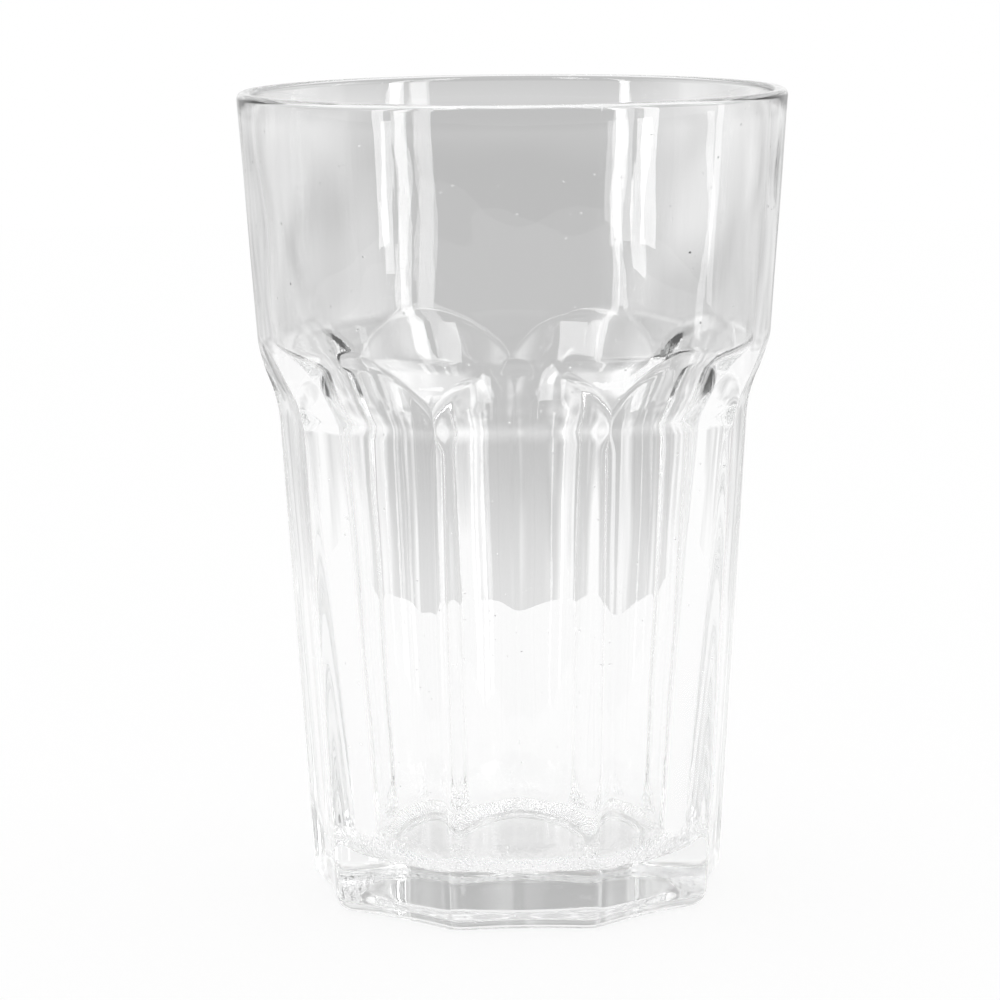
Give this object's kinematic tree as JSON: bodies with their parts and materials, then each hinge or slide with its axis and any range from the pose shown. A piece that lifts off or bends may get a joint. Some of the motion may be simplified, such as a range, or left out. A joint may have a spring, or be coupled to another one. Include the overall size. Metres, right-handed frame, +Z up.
{
  "type": "drinking glass",
  "caption": "Clear pressed-glass tumbler: a plain round bowl with a rounded lip above hollow flutes with arched tops, blunt ribs and a thick solid base.",
  "frame": {"origin": "centre of the underside, on the plane that the glass stands on", "axes": "+Z up along the axis to the rim; -Y is the front, where the middle of one flute stands 1.7 degrees to the right"},
  "size_m": [0.0844, 0.0844, 0.125],
  "materials": {
    "glass": "clear, fire-polished, with the faint waviness of pressed glass"
  },
  "bodies": {
    "root": {"tumbler": "glass"}
  },
  "joints": []
}
